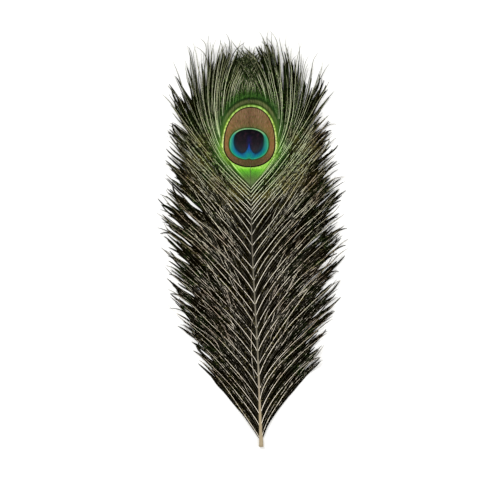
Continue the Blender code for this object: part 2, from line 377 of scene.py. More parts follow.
# ---- Meshes
class Pile:
    """Gathers vertices, triangles and per-vertex values for one mesh."""

    def __init__(self):
        self.verts, self.tris, self.uvs, self.values = [], [], [], {}
        self.count = 0

    def add(self, verts, tris, uvs, **values):
        self.verts.append(verts)
        self.tris.append(tris + self.count)
        self.uvs.append(uvs)
        for name, value in values.items():
            full = np.broadcast_to(np.asarray(value, float), (len(verts),))
            self.values.setdefault(name, []).append(full)
        self.count += len(verts)

    def mesh(self, name):
        verts = np.concatenate(self.verts) * MM
        verts[:, 2] = np.maximum(verts[:, 2], GROUND_GAP * MM)
        tris = np.concatenate(self.tris).astype(np.int32)
        mesh = bpy.data.meshes.new(name)
        mesh.vertices.add(len(verts))
        mesh.vertices.foreach_set("co", verts.astype(np.float32).ravel())
        mesh.loops.add(tris.size)
        mesh.loops.foreach_set("vertex_index", tris.ravel())
        mesh.polygons.add(len(tris))
        mesh.polygons.foreach_set("loop_start", np.arange(0, tris.size, 3, dtype=np.int32))
        mesh.update(calc_edges=True)
        for key, parts in self.values.items():
            layer = mesh.attributes.new(key, "FLOAT", "POINT")
            layer.data.foreach_set("value", np.concatenate(parts).astype(np.float32))
        uv = mesh.uv_layers.new(name="OFBake")
        places = np.concatenate(self.uvs)[tris.ravel()]
        uv.data.foreach_set("uv", places.astype(np.float32).ravel())
        mesh.validate()
        return mesh


def halves(a, b, c, d):
    """The two triangles of each face with these four corners."""
    return np.concatenate([np.stack([a, b, c], -1), np.stack([a, c, d], -1)])


def tube_faces(rings, sides):
    """The triangles between neighbouring rings of so many points each."""
    ring, point = np.arange(rings - 1)[:, None] * sides, np.arange(sides)[None]
    a, b = (ring + point).ravel(), (ring + (point + 1) % sides).ravel()
    return halves(a, b, b + sides, a + sides)


def sheet_faces(lines, points):
    """The triangles between neighbouring lines of so many points each."""
    a = (np.arange(lines - 1)[:, None] * points + np.arange(points - 1)[None]).ravel()
    return halves(a, a + 1, a + points + 1, a + points)


def barb_uvs(share, across, band):
    """Places on the texture: up along the barb, and across it in the barb's own band."""
    return np.stack([share, band[0] + band[1] * (0.5 + across)], -1)


def frames(line):
    """Tangent, sideways and upward directions along a line."""
    tangent = np.gradient(line, axis=0)
    tangent /= np.linalg.norm(tangent, axis=1, keepdims=True)
    side = np.cross(tangent, [0, 0, 1])
    side /= np.linalg.norm(side, axis=1, keepdims=True)
    return tangent, side, np.cross(side, tangent)


def add_ramus(pile, line, radius, band, **values):
    """The rib of a barb: a thin tapering rod."""
    _, side, up = frames(line)
    share = shares_along(line)
    size = radius * (TIP_RADIUS_SHARE + (1 - TIP_RADIUS_SHARE) * (1 - share) ** RAMUS_TAPER)
    turns = math.tau * (np.arange(RAMUS_SIDES) + 0.5) / RAMUS_SIDES
    across = side[:, None] * np.cos(turns)[None, :, None]
    ring = across + up[:, None] * np.sin(turns)[None, :, None] * RAMUS_HEIGHT
    verts = (line[:, None] + ring * size[:, None, None]).reshape(-1, 3)
    along = np.repeat(share, RAMUS_SIDES)
    uvs = barb_uvs(along, np.tile(RIB_ON_BAND * np.cos(turns), len(line)), band)
    pile.add(verts, tube_faces(len(line), RAMUS_SIDES), uvs, part=1, along=along, **values)


def add_web(pile, line, reach_full, band, tone, **values):
    """The dense foot of the barbules, as a narrow band on each side of the rib."""
    _, side, up = frames(line)
    share = shares_along(line)
    reach = reach_full * np.interp(share, BARBULE_PLACES, BARBULE_REACH)
    edges = ((-1, 0.1), (0, 0.04), (1, 0.1))  # which side of the rib, and how far below it
    rows = [line + side * (hand * reach)[:, None] - up * sink for hand, sink in edges]
    verts = np.stack(rows, 1).reshape(-1, 3)
    hands = np.tile([hand for hand, _ in edges], len(line))
    across = np.tile([MIDDLE_ACROSS, FOOT_ACROSS, MIDDLE_ACROSS], len(line))
    along = np.repeat(share, len(edges))
    uvs = barb_uvs(along, hands * (FOOT_ON_BAND + BARBULE_ON_BAND * across), band)
    shade = np.interp(share, np.linspace(0, 1, 150), rng.random(150) ** 2)
    shade = np.repeat(np.clip(tone * 0.4 + shade * 0.35, 0, 1), len(edges))
    tris = sheet_faces(len(line), len(edges))
    pile.add(verts, tris, uvs, part=0, along=along, tone=shade, **values)


def add_barbules(pile, line, length, step, half_width, band, tone, **values):
    """Two rows of fine blades along a barb, leaning towards its tip."""
    directions = frames(line)
    run = lengths_along(line)
    total = run[-1]
    painted_glint_at = np.linspace(0, total, max(8, int(total / PAINTED_GLINT_STEP)))
    for hand in (1, -1):
        at = np.arange(0.3, total * 0.992, step)
        at = at + rng.uniform(-0.4, 0.4, len(at)) * step
        share = at / total
        count = len(at)
        base, t, b, u = (picked(rows, at, run) for rows in (line, *directions))
        lean = np.interp(share, [0, 0.5, 1], BARBULE_LEANS) + rng.normal(0, LEAN_SPREAD, count)
        lean = np.radians(lean)
        reach = length * np.interp(share, BARBULE_PLACES, BARBULE_REACH)
        reach = reach * rng.uniform(0.8, 1.12, count)
        tilt = rng.normal(*BARBULE_TILT, count)
        go = np.cos(lean)[:, None] * t + hand * np.sin(lean)[:, None] * b + tilt[:, None] * u
        roll = rng.normal(*BARBULE_ROLL, count)
        flat = np.cross(u, go)
        flat /= np.linalg.norm(flat, axis=1, keepdims=True)
        edge = np.cos(roll)[:, None] * flat + np.sin(roll)[:, None] * u
        half = half_width * rng.uniform(0.8, 1.2, count) * np.interp(share, [0, 0.8, 1], [1, 1, 0.6])
        mid = base + go * (reach * 0.42)[:, None]
        tip = base + go * reach[:, None] + t * (reach * 0.16)[:, None] - u * (reach * 0.06)[:, None]
        corners = [base, mid - edge * half[:, None], mid + edge * half[:, None], tip]
        verts = np.stack(corners, 1).reshape(-1, 3)
        first = np.arange(count)[:, None] * len(corners)
        tris = np.concatenate([first + [0, 1, 2], first + [2, 1, 3]])
        along = np.repeat(share, len(corners))
        across = np.tile([FOOT_ACROSS, MIDDLE_ACROSS, MIDDLE_ACROSS, 1], count)
        # Painted glints: lighter stretches where light catches the barbules, added to the barb's own tone
        painted_glint = np.interp(at, painted_glint_at, rng.random(len(painted_glint_at)) ** 2.2)
        shade = np.clip(tone * 0.6 + painted_glint * 0.8 + rng.normal(0, 0.05, count), 0, 1)
        shade = np.repeat(shade, len(corners))
        uvs = barb_uvs(along, hand * (FOOT_ON_BAND + BARBULE_ON_BAND * across), band)
        pile.add(verts, tris, uvs, part=0, along=along, tone=shade, **values)


def add_barb(pile, line, root_y, kind, bold, length, band, tone):
    """A rib with its web and its barbules."""
    radius = RAMUS_RADIUS * RIB_SHARES[kind]
    radius *= 1 - (1 - HIGH_RADIUS_SHARE) * smooth(100, 150, root_y)
    radius *= RIGHT_RADIUS_SHARE if line[-1, 0] > line[0, 0] else LEFT_RADIUS_SHARE
    add_ramus(pile, line, radius, band, tone=tone, bold=bold)
    add_web(pile, line, length * WEB_SHARES[kind], band, tone, bold=bold)
    step, half_width = BARBULE_STEPS[kind], BARBULE_HALF_WIDTHS[kind]
    add_barbules(pile, line, length, step, half_width, band, tone, bold=bold)


# ---- Loose barbs
def barb_rows():
    """(root, kind) of each loose barb from the quill up."""
    bold = []
    for low, high, gap in BOLD_ROWS:
        count = max(1, round((high - low) / gap))
        bold += list(low + (high - low) * np.arange(count) / count)
    rows = []
    for low, high in zip(bold, bold[1:] + [BOLD_ROWS[-1][1]]):
        rows.append((low, BOLD))
        for gap, kind in ((PLAIN_GAP, PLAIN), (float(np.interp(low, *UNDER_GAP)), UNDER)):
            count = max(2 - kind, round((high - low) / gap) - kind)
            steps = [i + 0.5 + 0.5 * kind for i in range(count)]
            rows += [(low + (high - low) * step / (count + kind), kind) for step in steps]
    return sorted(rows)


def loose_turn(i, kind, root_y):
    """How far outwards of its guide a barb leaves the shaft, in degrees."""
    if kind == UNDER:
        return rng.normal(*UNDER_TURNS[i % 2])
    if kind == PLAIN:
        return rng.normal(*PLAIN_TURN)
    return rng.normal(*(LOW_BOLD_TURN if root_y < LOW_BOLD_ENDS_Y else BOLD_TURN))


def loose_barbs(side, low, high):
    """The barbs that leave the shaft between two heights on one side, as one pile."""
    pile = Pile()
    rows = [row for row in barb_rows() if low <= row[0] < high]
    bands = 0.98 / len(rows)
    for i, (root_y, kind) in enumerate(rows):
        root_y = root_y + rng.uniform(-0.3, 0.3)
        lock = nearest_lock(root_y, side)
        own = rng.uniform(-1, 1, 2) * TIP_WANDERS[kind]
        scatter = CLUMPING * lock[1:3] + (1 - CLUMPING) * own
        arch = LOCK_ARCH + ARCH_CHANGES[kind] + rng.uniform(-0.4, 0.4)
        turn = loose_turn(i, kind, root_y)
        swing = 0.0
        if kind == PLAIN and root_y < STEEP_ENDS_Y and rng.random() < STEEP_SHARE:
            swing = rng.normal(*STEEP_SWING)
        may_stray = kind != UNDER and STRAY_ROOTS[0] < root_y < STRAY_ROOTS[1]
        if may_stray and rng.random() < STRAY_SHARE / kind:
            turn += rng.choice([-1, 1], p=[0.6, 0.4]) * STRAY_TURN
            scatter = scatter + np.array([0, turn * 0.5])
        tip_z = rng.uniform(0.35, 0.9)
        line = guide_line(root_y, side, scatter, arch, tip_z, turn=turn, swing=swing)
        line[:, 2] += LAYER_HEIGHTS[kind] * smooth(0, 0.15, np.linspace(0, 1, BARB_POINTS))
        hook = tip_hook(side, *LOOSE_HOOK)
        lift = lock[3] * rng.uniform(*LOCK_LIFT_SHARES)
        lift += rng.gamma(*LOOSE_LIFT) * (UNDER_LIFT_SHARE if kind == UNDER else 1)
        wander = rng.uniform(4, 12) * BEND_SHARES[kind]
        line = natural(line, wander, hook, rng.uniform(0.72, 0.9), lift)
        line = resample(line, BARB_POINTS, rng.uniform(*REACH_SHARES[kind]))
        tone = rng.uniform(*TONES[kind])
        dullest, boldest = BOLDNESS[kind]
        bold = rng.uniform(dullest, boldest + RIGHT_BOLDNESS * side * (kind == PLAIN))
        if kind == UNDER:
            line = resample(line, UNDER_POINTS)
        band = (i * bands, bands * 0.94)
        add_barb(pile, line, root_y, kind, bold, BARBULE_LENGTH, band, tone)
    return pile


def bare_barbs(pile, side, low, high):
    """Thin bare barbs that come up from under the others and lie steeply across them."""
    gap = BARE_GAP if low < LOOSE_PILES[1][1] else UPPER_BARE_SHARE * BARE_GAP
    for root_y in np.arange(low, high, gap):
        root_y += rng.uniform(-0.6, 0.6)
        steep = rng.random() < BARE_SWING_SHARE or root_y < ONLY_BARE_SWING_Y
        swing = rng.normal(*(BARE_SWING if steep else BARE_BACK_SWING))
        swing *= 1 - BARE_SWING_FADE * float(smooth(*BARE_FADE_Y, root_y))
        scatter = rng.uniform(-5, 5, 2)
        arch = LOCK_ARCH + rng.uniform(0.1, 0.7)
        line = guide_line(root_y, side, scatter, arch, 0.8, swing=swing)
        wander, hook = rng.uniform(6, 14), side * rng.uniform(-30, 20)
        line = natural(line, wander, hook, 0.75, rng.uniform(0, 1.5))
        away = np.abs(line[:, 0])
        starts_at = min(rng.uniform(*BARE_AWAY), BARE_AWAY_MOST * away.max())
        first = int(np.argmax(away > starts_at))
        near_eye = np.nonzero(egg(*eye_local(line[:, 0], line[:, 1]), RIM) < CLEAR_OF_EYE)[0]
        ends_at = near_eye[0] if len(near_eye) else BARB_POINTS
        last = min(first + int(rng.uniform(*BARE_LENGTHS)), ends_at)
        if last - first < BARE_LEAST:
            continue
        line = resample(line[first:last], BARE_POINTS)
        sunk = 1 - smooth(0, 0.1, np.linspace(0, 1, BARE_POINTS))
        line[:, 2] += BARE_HEIGHT - BARE_SINK * sunk
        tone, bold = rng.uniform(0.2, 0.7), rng.uniform(0.15, 0.7)
        add_ramus(pile, line, RAMUS_RADIUS * BARE_RADIUS_SHARE, (0.98, 0.02), tone=tone, bold=bold)


# ---- Eye and crown
def eye_line(root_y, side):
    """One of the lines that the eye's sheet follows, from the shaft to the eye's edge."""
    line = onto_eye(guide_line(root_y, side, (0, 0), 0, 1, FLOW_POINTS))
    inside = np.nonzero(in_eye(line[:, 0], line[:, 1]))[0]
    last = max(inside.max() if len(inside) else 0, 4)
    return resample(line, EYE_ROWS, shares_along(line)[last])


def eye_sheet():
    """The close-knit barbs of the eye, as one ridged sheet along their flow, with an underside."""
    left, right = ([eye_line(y, side) for y in np.arange(*EYE_ROOTS, EYE_LINE_STEP)] for side in (-1, 1))
    middle = np.full((EYE_ROWS, 3), shaft_middle(SHAFT_END_Y))
    middle[:, 1] = np.linspace(*EYE_MIDDLE_LINE, EYE_ROWS)
    ridges = left + [onto_eye(middle)] + right[::-1]
    grooves = [(here + after) / 2 - [0, 0, GROOVE_DEPTH] for here, after in zip(ridges, ridges[1:])]
    lines = len(ridges) + len(grooves)
    grid = np.empty((lines, EYE_ROWS, 3))
    grid[::2], grid[1::2] = ridges, grooves
    ridge = np.repeat(1.0 - np.arange(lines) % 2, EYE_ROWS)
    tone = np.repeat(rng.uniform(0, 1, len(ridges) + 1), 2)[:lines]
    share = np.tile(np.linspace(0, 1, EYE_ROWS), lines)
    uvs = np.stack([grid[..., 0].ravel() / 60 + 0.5, (grid[..., 1].ravel() - 165) / 70], -1)
    tris = sheet_faces(lines, EYE_ROWS)
    pile = Pile()
    for under, drop in ((0, 0), (1, SHEET_THICKNESS)):
        verts = grid.reshape(-1, 3) - np.array([0, 0, drop])
        faces = tris if under else tris[:, ::-1]
        flat = uvs * [0.5, 1] + [0.5 * under, 0]
        pile.add(verts, faces, flat, ridge=ridge, along=share, tone=np.repeat(tone, EYE_ROWS), under=under)
    return pile


def crown_rows():
    """(root, kind) of the barbs whose lower part is in the eye."""
    under = np.concatenate([np.arange(*row) for row in CROWN_UNDER_ROWS])
    plain = np.concatenate([CROWN_PLAIN_FIRST, *(np.arange(*row) for row in CROWN_PLAIN_ROWS)])
    return [(y, UNDER) for y in under] + [(y, PLAIN) for y in plain]


def crown_boldness(i, root_y):
    """How bold a plain barb of the crown is. Neighbours take these in turn."""
    if min(abs(root_y - place) for place in BOLD_CROWN) < 0.12:
        return 1.0
    if root_y > 182:
        return (1, 0, 0.5, 0.1, 0.8, 0.1, 0.4)[i % 7] * (1 if root_y < 190 else 0.6)
    return ((0.3, 0.5, 0.4) if root_y < 171.5 else (0.3, 0.7, 0.5))[i % 3]


def crown_barbs(side):
    """Barbs whose lower part is in the eye: loose from just inside the rim to their tips."""
    pile = Pile()
    rows = crown_rows()
    bands = 1.0 / len(rows)
    for i, (root_y, kind) in enumerate(rows):
        lock = nearest_lock(root_y, side)
        scatter = (0.15, 0.35)[kind] * lock[1:3] + rng.uniform(-1, 1, 2) * 4.5
        scatter[1] += kind * min(rng.exponential(2.2), 7)
        bold = crown_boldness(i, root_y) if kind == PLAIN else 0.0
        root_y = root_y + rng.uniform(-0.3, 0.3) * (root_y > 171)
        line = onto_eye(guide_line(root_y, side, scatter, 0, 1, 200))
        line[:, 2] += rng.uniform(0.1, 0.4) + 0.5 * bold if kind == PLAIN else -0.15
        inside = np.nonzero(in_eye(line[:, 0], line[:, 1]))[0]
        run = lengths_along(line)
        inner = run[inside.max() if len(inside) else 0] - rng.uniform(0.6, 1.6)
        first = np.searchsorted(run, inner) if root_y >= 169.5 else 0
        hook = tip_hook(side, *CROWN_HOOK)
        lift = (lock[3] * rng.uniform(*LOCK_LIFT_SHARES) + rng.gamma(*CROWN_LIFT)) * kind
        line = natural(line, rng.uniform(4, 11), hook, rng.uniform(0.75, 0.9), lift)
        shortest, longest = ((0.76, 0.9), (0.86, 1))[kind]
        reach = rng.uniform(shortest + 0.08 * (bold > 0.6), longest)
        line = resample(line[first:], BARB_POINTS, reach)
        tone = rng.uniform(*TONES[kind])
        if kind == UNDER:
            line = resample(line, UNDER_POINTS)
        shown_kind = BOLD if bold > 0.97 else kind
        length = BARBULE_LENGTH * (0.9, 0.6)[kind]
        add_barb(pile, line, root_y, shown_kind, bold, length, (i * bands, bands * 0.94), tone)
    return pile


# ---- Shaft
SHAFT_SIDES = 20
SHAFT_PLACES = np.concatenate([np.linspace(CUT_Y, 0, 7), np.arange(2, 186.5, 1.75)])
# How far up the shaft, and its width there: it ends as thin as a barb
LOW_WIDTHS = ((-12, 3.15), (-8, 2.8), (28, 1.6), (61, 1.15), (96, 1))
LOOK_WIDTHS = (*LOW_WIDTHS, (131, 0.8), (152, 0.55), (170, 0.4), (186, 0.3))
SHAFT_FLATNESS = 0.92
GROOVE_SHARE, GROOVE_HALF_ANGLE, GROOVE_STARTS_Y, GROOVE_FULL_Y = 0.30, 0.42, -4, 20
ONTO_EYE_Y, ABOVE_EYE_FACE = (150, 168), 0.12
# The hollow in the cut end, from its floor out to the rim: share of the radius, depth, and
# how much of it is pith
HOLLOW = ((0, 0.9, 1), (0.5, 0.9, 1), (0.62, 0.5, 0.6), (0.66, 0, 0.15), (0.95, -0.02, 0))


def shaft_pile():
    """Quill and shaft: round above, grooved below, hollow at the cut end."""
    places = SHAFT_PLACES
    middle = shaft_middle(places)
    width = np.interp(places, *zip(*LOOK_WIDTHS))
    lift = smooth(*ONTO_EYE_Y, places)
    top = eye_height(middle[:, 0], places) + ABOVE_EYE_FACE
    middle[:, 2] = middle[:, 2] * (1 - lift) + (top - width * 0.5) * lift
    middle[:, 2] = np.where(places < FLAT_REST_Y, width * SHAFT_FLATNESS / 2, middle[:, 2])
    turns = math.tau * np.arange(SHAFT_SIDES) / SHAFT_SIDES
    below = 1.5 * math.pi
    groove = -GROOVE_SHARE * np.exp(-(((turns - below) / GROOVE_HALF_ANGLE) ** 2))
    flat_ring = np.stack([np.cos(turns), np.zeros(SHAFT_SIDES), np.sin(turns) * SHAFT_FLATNESS], -1)
    rings = [middle[0] + flat_ring * (width[0] / 2 * share) + [0, deep, 0] for share, deep, _ in HOLLOW]
    for i, y in enumerate(places):
        deep = np.clip((y - GROOVE_STARTS_Y) / (GROOVE_FULL_Y - GROOVE_STARTS_Y), 0, 1)
        ring = flat_ring * (width[i] / 2)
        ring[:, 2] *= 1 + groove * deep
        rings.append(middle[i] + ring)
    pith = [full for *_, full in HOLLOW] + [0] * len(places)
    along = np.repeat(np.linspace(0, 1, len(rings)), SHAFT_SIDES)
    around = np.tile(np.abs(np.linspace(-1, 1, SHAFT_SIDES)), len(rings))
    pile = Pile()
    tris = tube_faces(len(rings), SHAFT_SIDES)
    uvs = np.stack([along, around], -1)
    pile.add(np.concatenate(rings), tris, uvs, along=along, pith=np.repeat(pith, SHAFT_SIDES))
    return pile


# ---- Materials
def rgb(text):
    """A screen colour as the linear values that a shader takes."""
    parts = [int(text[i : i + 2], 16) / 255 for i in (0, 2, 4)]
    return (*(p / 12.92 if p <= 0.04045 else ((p + 0.055) / 1.055) ** 2.4 for p in parts), 1)


class Shader:
    """A node tree, built by calls that take signals, numbers or colours and give signals."""

    def __init__(self, name):
        self.material = bpy.data.materials.new(name)
        self.material.use_nodes = True
        self.tree = self.material.node_tree
        self.main = self.tree.nodes["Principled BSDF"]

    def plug(self, socket, value):
        if isinstance(value, Signal):
            self.tree.links.new(value.socket, socket)
        else:
            socket.default_value = rgb(value) if isinstance(value, str) else value

    def fill(self, node, **values):
        for name, value in values.items():
            self.plug(node.inputs[name.replace("_", " ")], value)

    def node(self, kind, *inputs, **settings):
        """A node with these settings, and with its first inputs filled."""
        made = self.tree.nodes.new(kind)
        for key, value in settings.items():
            setattr(made, key, value)
        for socket, value in zip(made.inputs, inputs):
            self.plug(socket, value)
        return made

    def math(self, operation, *values):
        return Signal(self, self.node("ShaderNodeMath", *values, operation=operation).outputs[0])

    def value(self, name):
        """A value that the mesh holds for each of its points."""
        return Signal(self, self.node("ShaderNodeAttribute", attribute_name=name).outputs["Fac"])

    def ramp(self, at, stops):
        """The colour at a share of the way through stops: a share and a colour for each."""
        made = self.node("ShaderNodeValToRGB", at)
        elements, stops = made.color_ramp.elements, stops.split(", ")
        while len(elements) < len(stops):
            elements.new(0.5)
        for element, stop in zip(elements, stops):
            share, colour = stop.split()
            element.position, element.color = float(share), rgb(colour)
        return Signal(self, made.outputs["Color"])

    def mix(self, share, a, b, kind="MIX"):
        made = self.node("ShaderNodeMix", data_type="RGBA", blend_type=kind, clamp_factor=True)
        self.fill(made, Factor=share, A=a, B=b)
        return Signal(self, made.outputs["Result"])

    def lit(self, colour, light):
        return self.mix(1, colour, self.vector(light, light, light), "MULTIPLY")

    def range(self, at, low, high, to_low=0, to_high=1, kind="LINEAR"):
        """What goes evenly from to_low to to_high while at goes from low to high."""
        made = self.node("ShaderNodeMapRange", at, low, high, to_low, to_high, interpolation_type=kind)
        return Signal(self, made.outputs["Result"])

    def eased(self, at, low, high, to_low=0, to_high=1):
        return self.range(at, low, high, to_low, to_high, "SMOOTHSTEP")

    def noise(self, scale, detail, rough, where=None):
        made = self.node("ShaderNodeTexNoise", *([where] if where else []))
        self.fill(made, Scale=scale, Detail=detail, Roughness=rough)
        return Signal(self, made.outputs["Fac"])

    def place(self):
        """The point's x, y and z in millimetres."""
        spot = Signal(self, self.node("ShaderNodeTexCoord").outputs["Object"])
        apart = self.node("ShaderNodeSeparateXYZ", spot)
        return [Signal(self, apart.outputs[i]) * (1 / MM) for i in range(3)]

    def vector(self, x, y, z=0):
        return Signal(self, self.node("ShaderNodeCombineXYZ", x, y, z).outputs[0])

    def finish(self, colour, roughness, specular, bumps=None, bump_strength=0):
        self.fill(self.main, Base_Color=colour, Roughness=roughness, Specular_IOR_Level=specular)
        if bumps:
            made = self.node("ShaderNodeBump")
            self.fill(made, Strength=bump_strength, Distance=BUMP_DEPTH, Height=bumps)
            self.fill(self.main, Normal=Signal(self, made.outputs["Normal"]))
        return self.material


BUMP_DEPTH = 0.1 * MM
FRAY = 0.022  # how unevenly the eye's markings end, as a share of their eggs


def split_heart(s, middle, v, heart, teal):
    """Cuts the wedge out of the heart from below, and the notch under it out of the ring."""
    down = s.math("MINIMUM", most(WEDGE_TOP - v, 0) / WEDGE_DEPTH, 1.08)
    wedge = down**1.1 * 1.6 + down**5 * 1.9
    cut = (wedge - middle) * 0.16 - s.range(v, 0.9, 3, 0, 0.4)
    heart = s.math("SMOOTH_MAX", heart, cut + 1, 0.3)
    return heart, teal + s.eased(middle, 0, 2.4, 0.06, 0) * s.range(v, -6, -9)


def bronze_field(s, u, v, teal):
    """The field round the ring: olive above it, orange at the sides, dark olive brown below,
    with fine streaks that fan out from below the middle."""
    wide = abs(u)
    fan = s.math("ARCTAN2", u, v + FAN_BELOW)
    ray = (v + FAN_BELOW) * 0.28
    streaks = s.noise(1, 1, 0.5, s.vector(fan * 96, ray))
    flecks = s.noise(1, 1, 0.5, s.vector(fan * 130, ray * 2.2, 7))
    browns = "0 3c3820, 0.16 4a3e24, 0.36 765230, 0.6 7c6540, 0.74 7a6242, 1 8a6c50"
    field = s.ramp(s.range(v, -16, 25), browns)
    field = s.mix(s.range(wide, 7.5, 15) * s.range(v, 14, 4, 0.45, 0.85), field, "866036")
    field = s.mix(s.range(v, -5, -10) * s.range(wide, 3, 12, 0, 0.7), field, "54402e")
    over_ring = s.range(teal - 1, 0, 0.32, 0.85, 0) * s.range(v, 1, 8)
    field = s.mix(over_ring, field, "586230")
    field = s.mix(s.range(streaks, 0.52, 0.68) * s.range(v, 2, 9, 0.2, 0.62), field, "3c2c1c")
    field = s.mix(s.range(streaks, 0.42, 0.3) * 0.35, field, "bc9080")
    field = s.mix(s.range(flecks, 0.5, 0.66, 0, 0.55), field, "5c6426")
    field = s.mix(s.range(flecks, 0.46, 0.32, 0, 0.5), field, "9c5c48")
    return s.mix(s.eased(teal, 1.01, 1.09, 1, 0), field, "28441a")


def ring_colours(s, u, v, middle, heart, teal):
    """The ring, from the heart out to its edge: teal above, bluer below and at the left."""
    past, left = most(heart - 1, 0), most(1 - teal, 0)
    share = past / (past + left * 1.5 + 0.0001)
    teals = "0 00161c, 0.1 083c48, 0.28 26787e, 0.55 268c7a, 0.8 46a680, 0.93 3c8a54, 1 2c5a28"
    blues = "0 0c1c38, 0.1 0e3a60, 0.3 146488, 0.55 0f7a88, 0.78 0f8a78, 0.92 2e9c70, 1 24603a"
    greens = "0 0c1c30, 0.1 0c3a50, 0.3 126670, 0.55 0c7e76, 0.78 189074, 0.92 48a874, 1 2c6434"
    low = s.mix(s.range(u, 1, 9, 0, 0.75), s.ramp(share, blues), s.ramp(share, greens))
    ring = s.mix(s.eased(v, 0.5, -6.5), s.ramp(share, teals), low)
    ring = s.mix(s.range(u, 4, 10, 0, 0.3) * s.range(v, -4, 2), ring, "3c9858")
    arch = s.ramp(share, "0 000806, 0.22 0e3018, 0.42 8ac48a, 0.85 86b47c, 1 2c5220")
    ring = s.mix(s.eased(v, 4.5, 8) * s.range(abs(u), 12.5, 9), ring, arch)
    split = s.ramp(s.range(v, 1.2, -8.5), "0 2c208c, 0.3 2438a4, 0.62 145c94, 1 128678")
    on_split = s.range(v, -9, -6) * s.range(v, 3, 2)
    return s.mix(s.eased(middle, 1, 3, 1, 0) * on_split, ring, split)


def heart_colours(s, x, y, v, middle, heart):
    """The heart: nearly black, indigo over the wedge, with faint purple blotches."""
    glow = s.eased(middle, 0, 2.6, 1, 0) * s.range(v, 6.5, 1.5, 0, 0.8)
    dark = s.ramp(s.range(v, 7, -7), "0 0a0910, 0.5 1c181e, 1 2e3238")
    dark = s.mix(glow, dark, "241c50")
    blotch = s.noise(0.45, 2, 0.6, s.vector(x, y, 5))
    dark = s.mix(s.range(blotch, 0.48, 0.66, 0, 0.35), dark, "3a1f2c")
    edge = s.mix(s.range(v, 5, 0), "020a0a", "0a2836")
    return s.mix(s.range(heart, 0.8, 1, 0, 0.8), dark, edge)


def rim_colours(s, u, v):
    """The lime rim, beaded where the barbs cross it."""
    limes = "0 9ce050, 0.2 b4e070, 0.42 dcea9c, 0.7 cce474, 1 a8d86c"
    lime = s.ramp(s.range(v, -18, 27), limes)
    turn = s.math("ARCTAN2", u, v - 4)
    beads = s.noise(1, 0, 0.5, s.vector(turn * 15, v * 0.25))
    return s.mix(s.range(beads, 0.48, 0.62) * 0.7, lime, "7a9430")


def halo_colours(s, v, outside, streak):
    """Round the rim: a dark line, then green that turns olive, and the crest at the top."""
    share = s.range(outside, 0, 1)
    dim = "0 6a9430, 0.04 446a22, 0.12 3e6428, 0.35 3a5a28, 1 343a20"
    bright = "0 a8d858, 0.06 84b83c, 0.13 588c2c, 0.22 3e6428, 1 343a20"
    halo = s.mix(s.range(v, 6, -4), s.ramp(share, dim), s.ramp(share, bright))
    belt, edge = "0.09 5a6238, 0.17 6c7448, 0.22 465628", "0.25 1c3810, 0.3 1e3c14"
    stops = f"0 3c6418, 0.05 2c4612, {belt}, {edge}, 0.38 2c5a24, 1 2c3c1e"
    crest = s.ramp(s.range(outside, 0, 0.6), stops)
    crest = s.mix(s.range(streak, 0.46, 0.6, 0, 0.6), crest, "22320e")
    return s.mix(s.range(v, 11, 23), halo, crest)


def green_v(s, u, v, streak, tone):
    """The V of green below the eye, with its single barbs told apart further down."""
    low, high = "0 6a7a52, 0.1 6c8450, 0.25 628240, 0.38 5e963a", "0.645 88e83a, 0.69 b4f468"
    green = s.ramp(s.range(v, V_BOTTOM, -12), f"{low}, 0.51 64b438, 0.6 74d030, {high}")
    green = s.mix(s.range(streak, 0.4, 0.66, 0, 0.5), green, "2c4c10")
    lined = s.ramp(tone, "0 2c5414, 0.45 6ca834, 0.75 a4d060, 1 dcf0ac")
    outer = s.range(abs(u - V_MIDDLE) / (v_half_width(v) + 1), 0.5, 0.95)
    return s.mix(outer * s.range(v, -25, -17.5), green, lined)


def eye_colours(s, x, y, streak, tone, on_sheet):
    """The eye's markings, from the middle outwards. Gives the colour, how far outside the
    rim the point is, and how far up the eye."""
    u, v = eye_local(x, y)
    fray = (streak - 0.5) * FRAY
    shares = ((RIM, 1), (BRONZE, 0.6), (TEAL, 0.5), (HEART, 0.6))
    rim, bronze, teal, heart = (egg(u, v, shape) + fray * share for shape, share in shares)
    middle = abs(u - WEDGE_X)
    heart, teal = split_heart(s, middle, v, heart, teal)
    ring = ring_colours(s, u, v, middle, heart, teal)
    colour = s.mix(s.range(heart, 0.985, 1.03), heart_colours(s, x, y, v, middle, heart), ring)
    colour = s.mix(s.range(teal, 0.985, 1.01), colour, bronze_field(s, u, v, teal))
    edge = bronze - s.range(v, -12, 22, 0.94, 0.968)
    colour = s.mix(s.range(edge, 0, 0.01) * s.range(bronze, 1.008, 1), colour, "100e02")
    colour = s.mix(s.range(bronze, 0.996, 1.01), colour, rim_colours(s, u, v))
    outside = rim - 1
    colour = s.mix(s.range(rim, 0.985, 1.012), colour, halo_colours(s, v, outside, streak))
    in_v = s.range(v, -6, -11)
    if not on_sheet:
        in_v = in_v * s.range(v_half_width(v) - abs(u - V_MIDDLE), -0.5, 0.9)
    in_v = in_v * s.range(bronze, 1.025, 1.05)
    return s.mix(in_v, colour, green_v(s, u, v, streak, tone)), outside, v


